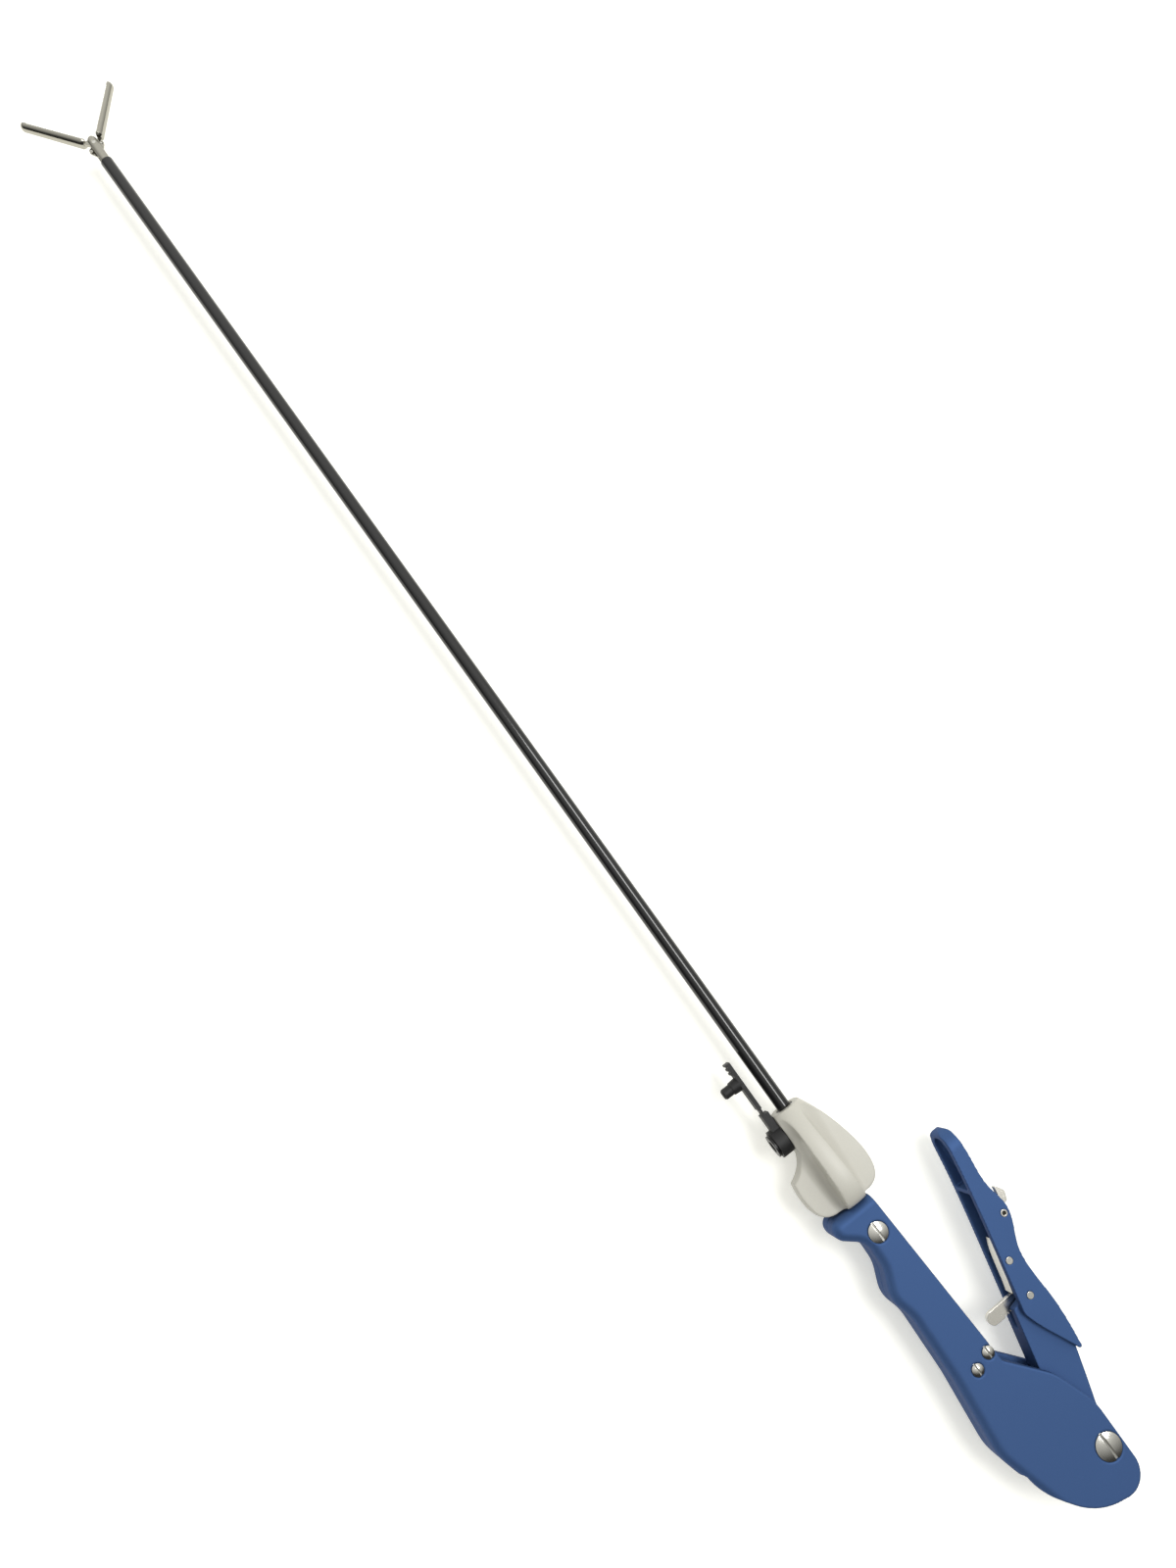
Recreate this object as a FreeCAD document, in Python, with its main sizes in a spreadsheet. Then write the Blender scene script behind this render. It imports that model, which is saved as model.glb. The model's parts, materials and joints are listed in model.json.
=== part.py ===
import FreeCAD, Part
import math
import os
import re
from types import SimpleNamespace
from FreeCAD import Placement, Rotation, Vector

# Laparoscopic dissector, 5 mm shaft, lying on its side with the jaws open.
# The shaft's axis is X and points to the jaws. The origin is where the shaft
# leaves the rotation knob. The lever is on the -Y side of the fixed handle,
# and +Z comes out of the side of the handle that carries the screw heads.
# Lengths are in millimetres and angles in degrees.

doc = FreeCAD.newDocument("Dissector")
sheet = doc.addObject("Spreadsheet::Sheet", "Sizes")

SIZES = {
    # Shaft, from the axis outwards
    "rod_radius": 0.9,
    "tube_radius": 2.2,
    "tube_wall": 0.5,
    "sheath_wall": 0.3,
    "shaft_length": 450,
    "slip": 0.05,
    # Rotation knob
    "knob_length": 37.3,
    "knob_radius": 14,
    "knob_nose": 5.7,
    "knob_tail": 8,
    "knob_bore": 3.3,
    "wing_front": 2.5,
    "wing_back": 3.8,
    "core_front": 6.6,
    "core_back": 6.5,
    # Flush port and its cap
    "port_setback": 8.2,
    "hub_length": 15,
    "port_bore": 2.1,
    "port_neck": 3.4,
    "port_flange": 4.0,
    "port_reach": 11.2,
    "flange_depth": 1.0,
    "ring_radius": 5.0,
    "ring_depth": 4.4,
    "strap_width": 5.0,
    "strap_depth": 1.5,
    "hinge_ahead": 3.6,
    "hinge_out": 7.6,
    "hinge_gap": 1.1,
    "plug_radius": 1.95,
    "plug_base": 2.6,
    "plug_length": 6.7,
    "cap_length": 19.7,
    "ridge_proud": 0.5,
    "ridge_count": 3,
    # Fixed handle
    "handle_gap": 0.7,
    "handle_half": 8.0,
    "grip_inner": 5.2,
    "bay_half": 5.2,
    "spine_floor": 2.6,
    "step_back": 96.0,
    "palm_round": 3.0,
    "rod_channel": 1.5,
    "bush_radius": 3.9,
    "bush_length": 19.0,
    "collar_length": 3.0,
    "collar_radius": 3.5,
    # Lever pivot and lever
    "pivot_back": 106.6,
    "pivot_below": 20.5,
    "pivot_pin": 2.5,
    "bush_wall": 0.85,
    "boss_radius": 4.3,
    "arm_half": 4.85,
    "shell_half": 7.5,
    "shell_wall": 2.5,
    "tip_round": 7.0,
    "tip_wall": 2.5,
    "channel_round": 4.4,
    "channel_floor": 18.1,
    "web_half": 0.7,
    "leaf_thick": 0.45,
    "leaf_width": 5.4,
    "crank_radius": 6.86,
    "crank_angle": 107.3,
    "crank_pin": 1.25,
    "ear_half": 2.3,
    "link_half": 3.3,
    "link_plate": 0.75,
    "spool_back": 80.5,
    "spool_radius": 2.4,
    "spool_core": 1.3,
    "groove_width": 2.5,
    "spool_flange": 1.0,
    # Ratchet
    "bar_half": 0.8,
    "bar_width": 4.5,
    "slot_half": 1.3,
    "tooth_pitch": 1.05,
    "tooth_depth": 0.9,
    "tooth_count": 6,
    "rivet_radius": 1.2,
    "nub_pin": 1.2,
    # Screws
    "big_head": 3.45,
    "small_head": 2.1,
    "pivot_head": 4.5,
    "head_proud": 0.6,
    "seat_depth": 0.9,
    "big_shank": 1.5,
    "small_shank": 1.0,
    "big_slot": 0.9,
    "small_slot": 0.6,
    "pivot_slot": 1.0,
    "nut_wall": 0.3,
    "dowel_radius": 1.0,
    "dowel_length": 8.0,
    "catch_depth": 2.0,
    # Jaws and their linkage
    "pivot_ahead": 8.9,
    "jaw_pin": 0.75,
    "jaw_length": 30.7,
    "jaw_root": 2.45,
    "jaw_tip": 2.2,
    "jaw_open": 40,
    "jaw_pitch": 1.0,
    "jaw_groove": 0.35,
    "tail_length": 2.7,
    "tail_angle": 27,
    "tail_round": 0.85,
    "leaf_depth": 0.6,
    "leaf_gap": 0.04,
    "link_length": 5.0,
    "small_pin": 0.4,
    "open_gap": 0.15,
    "rod_pin_back": 5.44,
    "jaw_link_angle": 30.5,
    "jaw_slot": 1.28,
    "clevis_plug": 8,
}

for row, (alias, value) in enumerate(SIZES.items(), 1):
    sheet.set(f"A{row}", alias)
    sheet.set(f"B{row}", str(value))
    sheet.setAlias(f"B{row}", alias)
v = SimpleNamespace(**SIZES)
doc.recompute()

# Helpers

AXES = {"X": Rotation(Vector(0, 1, 0), 90), "Y": Rotation(Vector(1, 0, 0), -90), "Z": Rotation()}


def formula(text):
    """Point each name in a formula at its cell in the sheet."""
    return re.sub(r"[a-z]\w*", lambda word: "Sizes." + word.group(), text)


def bind(thing, **formulas):
    """Tie properties of an object to the sheet."""
    for prop, text in formulas.items():
        thing.setExpression(prop, formula(text))
    return thing


def at(thing, x="0", y="0", z="0", axis="Z"):
    """Stand an object along an axis, at a place tied to the sheet."""
    thing.Placement = Placement(Vector(), AXES[axis])
    for letter, text in zip("xyz", (x, y, z)):
        thing.setExpression(f".Placement.Base.{letter}", formula(text))
    return thing


def rod(name, radius, length, x="0", y="0", z="0", axis="Z"):
    """A cylinder that starts at a place and runs along an axis."""
    thing = doc.addObject("Part::Cylinder", name)
    bind(thing, Radius=radius, Height=length)
    return at(thing, x, y, z, axis)


def block(name, length, width, height, x, y, z):
    """A box from its lowest corner."""
    thing = doc.addObject("Part::Box", name)
    bind(thing, Length=length, Width=width, Height=height)
    return at(thing, x, y, z)


def joined(name, *pieces):
    """Several solids fused into one piece."""
    thing = doc.addObject("Part::MultiFuse", name)
    thing.Shapes = list(pieces)
    return thing


def less(name, base, tool):
    """One solid with another cut away."""
    thing = doc.addObject("Part::Cut", name)
    thing.Base = base
    thing.Tool = tool
    return thing


def shared(name, *pieces):
    """What several solids have in common."""
    thing = doc.addObject("Part::MultiCommon", name)
    thing.Shapes = list(pieces)
    return thing


def group(name, *pieces):
    """Separate solids that are one node."""
    thing = doc.addObject("Part::Compound", name)
    thing.Links = list(pieces)
    return thing


def spot(x, y):
    return Vector(x, y, 0)


def line(a, b):
    return Part.LineSegment(spot(*a), spot(*b))


def spline(points):
    curve = Part.BSplineCurve()
    curve.interpolate([spot(*p) for p in points])
    return curve


def circle(x, y, radius):
    return Part.Circle(spot(x, y), Vector(0, 0, 1), radius)


def corner(before, here, after, radius):
    """First, middle and last point of the arc that rounds a corner."""
    one = (before - here).normalize()
    two = (after - here).normalize()
    half = one.getAngle(two) / 2
    reach = radius / math.tan(half)
    inward = (one + two).normalize() * (radius / math.sin(half) - radius)
    return here + one * reach, here + inward, here + two * reach


def outline(*corners):
    """Closed outline through corners (x, y) or, where rounded, (x, y, radius)."""
    spots = [spot(c[0], c[1]) for c in corners]
    edges = []
    ends = []
    for i, c in enumerate(corners):
        if len(c) == 3:
            after = spots[(i + 1) % len(spots)]
            first, middle, last = corner(spots[i - 1], spots[i], after, c[2])
            edges.append(Part.Arc(first, middle, last))
        else:
            first = last = spots[i]
        ends.append((first, last))
    for i, (first, last) in enumerate(ends):
        following = ends[(i + 1) % len(ends)][0]
        if last.distanceToPoint(following) > 1e-6:
            edges.append(Part.LineSegment(last, following))
    return edges


def capsule(x1, y1, x2, y2, radius):
    """Outline of a bar with round ends about two points."""
    along = (spot(x2, y2) - spot(x1, y1)).normalize()
    side = Vector(-along.y, along.x, 0) * radius
    a, b = spot(x1, y1), spot(x2, y2)
    return [
        Part.LineSegment(a + side, b + side),
        Part.Arc(b + side, b + along * radius, b - side),
        Part.LineSegment(b - side, a - side),
        Part.Arc(a - side, a - along * radius, a + side),
    ]


def body(name):
    return doc.addObject("PartDesign::Body", name)


def draw(owner, name, plane, edges, lift="0"):
    """Sketch closed outlines on one of the body's origin planes, lifted off it."""
    sketch = owner.newObject("Sketcher::SketchObject", name)
    origin = next(f for f in owner.Origin.OriginFeatures if f.Role == plane)
    sketch.AttachmentSupport = [(origin, "")]
    sketch.MapMode = "FlatFace"
    sketch.setExpression("AttachmentOffset.Base.z", formula(lift))
    for edge in edges:
        sketch.addGeometry(edge, False)
    return sketch


def pad(owner, sketch, length, up=True, both=False):
    feature = owner.newObject("PartDesign::Pad", sketch.Name + "_pad")
    feature.Profile = sketch
    feature.SideType = "Symmetric" if both else "One side"
    feature.Reversed = not up
    return bind(feature, Length=length)


def pocket(owner, sketch, length, up=True, both=False):
    feature = owner.newObject("PartDesign::Pocket", sketch.Name + "_cut")
    feature.Profile = sketch
    feature.SideType = "Symmetric" if both else "One side"
    feature.Reversed = up
    return bind(feature, Length=length)


def turn(owner, sketch, axis="H_Axis"):
    feature = owner.newObject("PartDesign::Revolution", sketch.Name + "_turn")
    feature.Profile = sketch
    feature.ReferenceAxis = (sketch, [axis])
    feature.Angle = 360
    return feature


def round_edges(owner, base, radius, wanted):
    """Fillet the edges that a test picks."""
    doc.recompute()
    names = [f"Edge{i + 1}" for i, edge in enumerate(base.Shape.Edges) if wanted(edge)]
    feature = owner.newObject("PartDesign::Fillet", base.Name + "_round")
    feature.Base = (base, names)
    return bind(feature, Radius=radius)


# Places that several pieces share

NOSE = -v.knob_length - v.handle_gap
PIVOT = (NOSE - v.pivot_back, -v.pivot_below)
CRANK = (
    PIVOT[0] + v.crank_radius * math.cos(math.radians(v.crank_angle)),
    PIVOT[1] + v.crank_radius * math.sin(math.radians(v.crank_angle)),
)
SPOOL = (NOSE - v.spool_back, 0.0)
BAR_RIVET = (PIVOT[0] + 49.9, PIVOT[1] - 8.8)
LEAF_RIVET = (PIVOT[0] + 62.3, PIVOT[1] - 10.0)
NUB_PIN = (PIVOT[0] + 74.8, PIVOT[1] - 18.3)
FRONT_SCREW = (NOSE - 10.7, 0.0)
CATCH_SCREWS = ((PIVOT[0] + 43.4, PIVOT[1] + 20.3), (PIVOT[0] + 45.4, PIVOT[1] + 14.1))
DOWELS = ((NOSE - 46.0, 4.6), (NOSE - 90.0, 6.0))
GRIP_CORNER = (PIVOT[0] + 40.6, PIVOT[1] + 11.8)
JAW_PIVOT = v.shaft_length + v.pivot_ahead
HANDLE_START = "-knob_length - handle_gap"
PIVOT_AT = (HANDLE_START + " - pivot_back", "-pivot_below")
SPOOL_AT = HANDLE_START + " - spool_back"
SHAFT_SKIN = "(tube_radius + sheath_wall)"


def from_pivot(x, y):
    return (PIVOT[0] + x, PIVOT[1] + y)


def behind_nose(x, y):
    return (NOSE - x, y)


# Shaft

less("outer_tube",
     rod("tube_solid", "tube_radius", "shaft_length + knob_length + handle_gap + bush_length + collar_length",
         "-knob_length - handle_gap - bush_length - collar_length", axis="X"),
     joined("tube_hollow",
            rod("lumen", "tube_radius - tube_wall", "shaft_length * 2", "-shaft_length", axis="X"),
            rod("tube_port", "port_bore * 0.6", "tube_radius * 2", "-port_setback", axis="Y")))

less("insulation_sheath",
     rod("sheath_solid", SHAFT_SKIN, "shaft_length", axis="X"),
     rod("sheath_bore", "tube_radius", "shaft_length * 2", "-shaft_length / 2", axis="X"))

less("tube_collar",
     rod("collar_solid", "collar_radius", "collar_length - slip * 2",
         "-knob_length - handle_gap - bush_length - collar_length", axis="X"),
     rod("collar_bore", "tube_radius", "shaft_length", "-shaft_length / 2", axis="X"))

less("rod_seal",
     rod("seal_solid", "tube_radius - tube_wall", "rod_radius * 2", "-hub_length * 2", axis="X"),
     rod("seal_bore", "rod_radius + slip", "shaft_length", "-shaft_length / 2", axis="X"))


# Rotation knob: a bulb turned about the shaft, with four valleys lofted out
# of it, so that four wings stay between them.

def knob():
    owner = body("knob")
    widest = 0.78 * v.knob_length
    tail = -v.knob_length
    profile = [
        line((0, 0), (0, v.knob_nose)),
        spline([
            (0, v.knob_nose),
            (-0.13 * v.knob_length, v.knob_nose + 0.30 * (v.knob_radius - v.knob_nose)),
            (-0.27 * v.knob_length, v.knob_nose + 0.56 * (v.knob_radius - v.knob_nose)),
            (-0.53 * v.knob_length, v.knob_nose + 0.89 * (v.knob_radius - v.knob_nose)),
            (-widest, v.knob_radius),
            (0.3 * -widest + 0.7 * tail, v.knob_radius - 0.28 * (v.knob_radius - v.knob_tail)),
            (tail, v.knob_tail),
        ]),
        line((tail, v.knob_tail), (tail, 0)),
        line((tail, 0), (0, 0)),
    ]
    bulb = turn(owner, draw(owner, "knob_profile", "XY_Plane", profile))
    sections = []
    for i, share in enumerate((-0.03, 0.15, 0.4, 0.7, 1.03)):
        reach = v.knob_radius * 1.2
        half = v.wing_front + (v.wing_back - v.wing_front) * share
        core = v.core_front + (v.core_back - v.core_front) * share
        valley = (core - math.sqrt(2) * half) / (math.sqrt(2) - 1)
        edges = outline((half, half, valley), (reach, half), (reach, reach), (half, reach))
        sections.append(draw(owner, f"valley_{i}", "YZ_Plane", edges, f"-knob_length * {share}"))
    valley = owner.newObject("PartDesign::SubtractiveLoft", "knob_valley")
    valley.Profile = sections[0]
    valley.Sections = sections[1:]
    spread = owner.newObject("PartDesign::PolarPattern", "knob_wings")
    spread.Originals = [valley]
    spread.Axis = (bulb.Profile[0], ["H_Axis"])
    spread.Angle = 360
    spread.Occurrences = 4
    owner.Tip = spread
    front = [
        spline([(-22.5, 17), (-21.5, 12.5), (-19.5, 9.0), (-15.0, v.knob_nose - 0.2)]),
        line((-15.0, v.knob_nose - 0.2), (5, v.knob_nose - 0.2)),
        line((5, v.knob_nose - 0.2), (5, 17)),
        line((5, 17), (-22.5, 17)),
    ]
    pocket(owner, draw(owner, "port_clearance", "XY_Plane", front), "knob_radius * 2", both=True)
    bore = draw(owner, "knob_bore_ring", "YZ_Plane", [circle(0, 0, v.knob_bore)], "-knob_length * 2")
    pocket(owner, bore, "knob_length * 3")
    gap = v.port_neck + v.slip * 2
    hole = draw(owner, "port_hole", "XZ_Plane", [circle(-v.port_setback, 0, gap)])
    pocket(owner, hole, "knob_radius", up=False)


knob()

# Flush port and its tethered cap

less("flush_port",
     joined("port_solid",
            rod("port_hub", "knob_bore - slip", "hub_length - 0.3", "-hub_length", axis="X"),
            rod("port_tube", "port_neck", "port_reach - " + SHAFT_SKIN,
                "-port_setback", SHAFT_SKIN, axis="Y"),
            rod("port_lip", "port_flange", "flange_depth",
                "-port_setback", "port_reach - flange_depth", axis="Y")),
     joined("port_hollow",
            rod("port_way", "port_bore", "port_reach", "-port_setback", SHAFT_SKIN, axis="Y"),
            rod("port_drill", "port_bore * 0.6", "port_reach", "-port_setback", axis="Y"),
            rod("port_seat", "tube_radius", "hub_length * 3", "-hub_length * 2", axis="X")))

RING_LOW = "port_reach - flange_depth - slip - ring_depth"
less("cap_ring",
     joined("ring_solid",
            rod("ring_disc", "ring_radius", "ring_depth", "-port_setback", RING_LOW, axis="Y"),
            block("ring_tab", "port_setback + hinge_ahead - hinge_gap - port_neck - slip",
                  f"hinge_out + strap_depth * 0.7 - ({RING_LOW})", "strap_width",
                  "-port_setback + port_neck + slip", RING_LOW, "-strap_width / 2"),
            block("ring_film", "hinge_gap - strap_depth / 4 - slip", "strap_depth / 2", "strap_width",
                  "hinge_ahead - hinge_gap", "hinge_out - strap_depth / 4", "-strap_width / 2")),
     rod("ring_hole", "port_neck + slip", "port_reach * 2", "-port_setback", axis="Y"))


def port_cap():
    owner = body("port_cap")
    half = v.strap_depth / 2
    start = v.hinge_ahead + v.hinge_gap
    end = v.hinge_ahead + v.cap_length
    middle = v.hinge_ahead * 2 + v.port_setback
    low, high = v.hinge_out - half, v.hinge_out + half
    ridge = v.cap_length / 12
    proud = v.ridge_proud
    strap = [(start, low), (end, low)]
    for i in range(v.ridge_count):
        back = end - i * ridge
        strap += [(back, high + proud), (back - 0.5 * ridge, high + proud), (back - 0.5 * ridge, high)]
        if i < v.ridge_count - 1:
            strap.append((back - ridge, high))
    strap.append((start, high))
    edges = outline(*strap)
    pad(owner, draw(owner, "cap_strap", "XY_Plane", edges), "strap_width", both=True)
    film = capsule(v.hinge_ahead, v.hinge_out, start + half, v.hinge_out, half / 2)
    pad(owner, draw(owner, "cap_film", "XY_Plane", film), "strap_width", both=True)
    seat = high + v.plug_length * 0.45
    top = high + v.plug_length
    plug = [
        (0, v.hinge_out), (v.plug_base, v.hinge_out), (v.plug_base - 0.3, seat), (v.plug_radius, seat),
        (v.plug_radius, top - 0.6), (v.plug_radius - 0.5, top), (0, top),
    ]
    shifted = outline(*[(middle + x, y) for x, y in plug])
    sketch = draw(owner, "cap_plug", "XY_Plane", shifted)
    sketch.addGeometry(Part.LineSegment(spot(middle, 0), spot(middle, 1)), True)
    feature = owner.newObject("PartDesign::Revolution", "cap_plug_turn")
    feature.Profile = sketch
    feature.ReferenceAxis = (sketch, ["Axis0"])
    feature.Angle = 360


port_cap()


# Fixed handle: two halves that meet on the middle plane

def slotted_screw(name, place, side, head, shank, tip, slot):
    """A domed screw with its head on one side of the handle and its tip inside."""
    x, y = place
    proud = v.head_proud
    dome = (head * head + proud * proud) / (2 * proud)
    seat = v.handle_half - v.seat_depth
    top = v.handle_half + proud
    head_disc = rod(name + "_head", str(head), "seat_depth + head_proud")
    ball = doc.addObject("Part::Sphere", name + "_dome")
    ball.Radius = dome
    ball.Placement = Placement(Vector(0, 0, top - seat - dome), Rotation())
    capped = shared(name + "_capped", head_disc, ball)
    stem = rod(name + "_stem", str(shank), f"handle_half - seat_depth - {tip}",
               z=f"{tip} - handle_half + seat_depth")
    solid = joined(name + "_solid", capped, stem)
    cut = block(name + "_slot", str(head * 3), str(slot), "handle_half", str(-head * 1.5), str(-slot / 2),
                "seat_depth * 0.4")
    thing = less(name, solid, cut)
    flip = Rotation() if side > 0 else Rotation(Vector(1, 0, 0), 180)
    thing.Placement = Placement(Vector(x, y, side * seat), flip)
    return thing


def handle_outline():
    """Grip with a finger flare at the nose, a step at the spine's end and a round heel."""
    palm = [
        (*behind_nose(0.0, 12.4), 3.3), (*behind_nose(5.6, 12.4), 4.2), (*behind_nose(11.5, 5.1), 7.0),
        (*behind_nose(21.0, 5.3), 12.0), (*behind_nose(30.5, 9.6), 9.0), (*behind_nose(38.5, 7.2), 16.0),
        (*behind_nose(62.0, 7.9), 60.0), (*behind_nose(88.0, 10.6), 18.0), behind_nose(v.step_back, 8.2),
    ]
    heel = [
        behind_nose(v.step_back + 1.2, 6.9), (*from_pivot(3.0, 26.8), 20.0), (*from_pivot(-12.6, 15.5), 22.0),
        (*from_pivot(-17.2, -5.1), 8.0), (*from_pivot(13.0, -5.3), 22.0), (*from_pivot(27.0, 0.2), 15.0),
        (*GRIP_CORNER, 1.0),
    ]
    return outline(*palm, *heel, (NOSE, -v.grip_inner))


def handle_half(name, side):
    owner = body(name)
    up = side > 0
    way = "" if up else "-"
    base = pad(owner, draw(owner, name + "_side", "XY_Plane", handle_outline()), "handle_half", up)

    def palm_edge(edge):
        box = edge.BoundBox
        level = abs(abs(box.ZMin) - v.handle_half) < 1e-3 and box.ZLength < 1e-3
        return level and box.YMin > 4 and box.XMin > NOSE - v.step_back - 1e-3

    round_edges(owner, base, "palm_round", palm_edge)
    bay_front = GRIP_CORNER[0] + 1.0
    wall = bay_front - 3.5
    step = NOSE - v.step_back
    ledge = GRIP_CORNER[1] + 1.2
    bay = outline((-200, 30), (step, 30), (step, v.spine_floor), (wall, v.spine_floor),
                  (wall, ledge), (bay_front, ledge), (bay_front, -60), (-200, -60))
    pocket(owner, draw(owner, name + "_bay", "XY_Plane", bay), "bay_half", up)
    channel = draw(owner, name + "_channel", "YZ_Plane", [circle(0, 0, v.rod_channel)], f"{wall - 1}")
    pocket(owner, channel, "spool_back")
    room = [circle(0, 0, v.bush_radius + v.slip)]
    room = draw(owner, name + "_bush_room", "YZ_Plane", room,
                "-knob_length - handle_gap - bush_length - collar_length - slip * 4")
    pocket(owner, room, "bush_length * 2")
    left, right = CATCH_SCREWS[0][0] - 2.4, BAR_RIVET[0] + 3.0
    ratchet = outline((left, 0), (left, -30), (right, -30), (right, 0))
    pocket(owner, draw(owner, name + "_ratchet_slot", "XY_Plane", ratchet), "slot_half", up)
    floor = way + "(handle_half - seat_depth)"
    spots = [(FRONT_SCREW, v.big_head, v.big_shank), (PIVOT, v.pivot_head, v.pivot_pin)]
    if up:
        spots += [(place, v.small_head, v.small_shank) for place in CATCH_SCREWS]
        plate = draw(owner, name + "_catch_seat", "XY_Plane", catch_plate(v.slip))
        pocket(owner, plate, "slot_half + catch_depth + 0.3", up)
    for i, (place, head, shank) in enumerate(spots):
        hole = draw(owner, f"{name}_hole_{i}", "XY_Plane", [circle(*place, shank + v.slip)])
        pocket(owner, hole, "handle_half * 2", up)
        seat = draw(owner, f"{name}_seat_{i}", "XY_Plane", [circle(*place, head + 0.1)], floor)
        pocket(owner, seat, "handle_half", up)
    pins = [circle(*place, v.dowel_radius + v.slip / 2) for place in DOWELS]
    pocket(owner, draw(owner, name + "_dowel_holes", "XY_Plane", pins), "dowel_length / 2 + slip * 2", up)


def catch_plate(grow=0.0):
    """Outline of the plate under the two small screws."""
    left, right = CATCH_SCREWS[0][0] - 2.2 - grow, CATCH_SCREWS[1][0] + 2.0 + grow
    low, high = GRIP_CORNER[1] + 0.3 - grow, CATCH_SCREWS[0][1] + 2.0 + grow
    return outline((left, low), (right, low), (right, high), (left, high))


def ratchet_catch():
    owner = body("ratchet_catch")
    plate = draw(owner, "catch_plate", "XY_Plane", catch_plate(), "slot_half + 0.25")
    pad(owner, plate, "catch_depth")
    low = GRIP_CORNER[1] + 0.3
    edge = CATCH_SCREWS[0][0] + 1.5
    back = CATCH_SCREWS[0][0] - 2.2
    tooth = outline((back, low), (edge, low), (edge - 1.6, low + 2.0), (back, low + 2.0))
    pad(owner, draw(owner, "catch_tooth", "XY_Plane", tooth, "-slot_half + 0.1"), "slot_half * 2 + 0.5")
    holes = [circle(*place, v.small_shank) for place in CATCH_SCREWS]
    pocket(owner, draw(owner, "catch_holes", "XY_Plane", holes, "slot_half"), "handle_half")


handle_half("handle_half_top", 1)
handle_half("handle_half_bottom", -1)
ratchet_catch()

BIG = (v.big_head, v.big_shank, "(bush_radius - 0.8)", v.big_slot)
SMALL = (v.small_head, v.small_shank, "(slot_half + 0.4)", v.small_slot)
group("front_screws",
      slotted_screw("front_screw_top", FRONT_SCREW, 1, *BIG),
      slotted_screw("front_screw_bottom", FRONT_SCREW, -1, *BIG))
group("catch_screws",
      slotted_screw("catch_screw_rear", CATCH_SCREWS[0], 1, *SMALL),
      slotted_screw("catch_screw_front", CATCH_SCREWS[1], 1, *SMALL))
group("handle_dowels",
      *[rod(f"dowel_{i}", "dowel_radius", "dowel_length", str(x), str(y), "-dowel_length / 2")
        for i, (x, y) in enumerate(DOWELS)])
slotted_screw("pivot_screw", PIVOT, 1, v.pivot_head, v.pivot_pin, "(nut_wall - handle_half)", v.pivot_slot)
less("pivot_nut",
     rod("nut_solid", "pivot_head", "seat_depth + head_proud", *PIVOT_AT, "-handle_half - head_proud"),
     rod("nut_hole", "pivot_pin", "handle_half", *PIVOT_AT, "-handle_half + nut_wall - slip"))
less("front_bush",
     rod("bush_solid", "bush_radius", "bush_length + handle_gap / 2",
         "-knob_length - handle_gap - bush_length", axis="X"),
     joined("bush_hollow",
            rod("bush_bore", "tube_radius + slip", "shaft_length", "-shaft_length / 2", axis="X"),
            rod("bush_socket", "big_shank + slip", "bush_radius * 2",
                str(FRONT_SCREW[0]), "0", "bush_radius - 0.85"),
            rod("bush_socket_low", "big_shank + slip", "bush_radius * 2",
                str(FRONT_SCREW[0]), "0", "-bush_radius * 3 + 0.85")))


# Lever

def lever_arm():
    owner = body("lever_arm")
    slant = from_pivot(28.6, 3.1)
    shape = outline(
        from_pivot(3.2, 3.4), (*slant, 4.0), (*from_pivot(48.6, -1.9), 0.8),
        (BAR_RIVET[0] - 0.3, BAR_RIVET[1] + 1.9, 1.0), (BAR_RIVET[0] + 6.6, BAR_RIVET[1] + 0.4, 0.8),
        (BAR_RIVET[0] + 6.6, PIVOT[1] - 12.2), from_pivot(27.6, -11.9), from_pivot(19.6, -9.2),
        (*from_pivot(10.6, -6.0), 2.0), from_pivot(2.0, -3.9))
    pad(owner, draw(owner, "arm_side", "XY_Plane", shape), "arm_half * 2", both=True)
    boss = [circle(*PIVOT, v.boss_radius)]
    pad(owner, draw(owner, "arm_boss", "XY_Plane", boss), "arm_half * 2", both=True)
    ear = capsule(*PIVOT, *CRANK, v.crank_pin * 2)
    pad(owner, draw(owner, "arm_ear", "XY_Plane", ear), "ear_half * 2", both=True)
    slot = outline(from_pivot(41.5, 20), from_pivot(80, 20), from_pivot(80, -40), from_pivot(41.5, -40))
    pocket(owner, draw(owner, "arm_slot", "XY_Plane", slot), "slot_half * 2", both=True)
    holes = [circle(*PIVOT, v.pivot_pin + v.bush_wall), circle(*CRANK, v.crank_pin),
             circle(*BAR_RIVET, v.rivet_radius)]
    for i, hole in enumerate(holes):
        pocket(owner, draw(owner, f"arm_hole_{i}", "XY_Plane", [hole]), "arm_half * 3", both=True)


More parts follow.
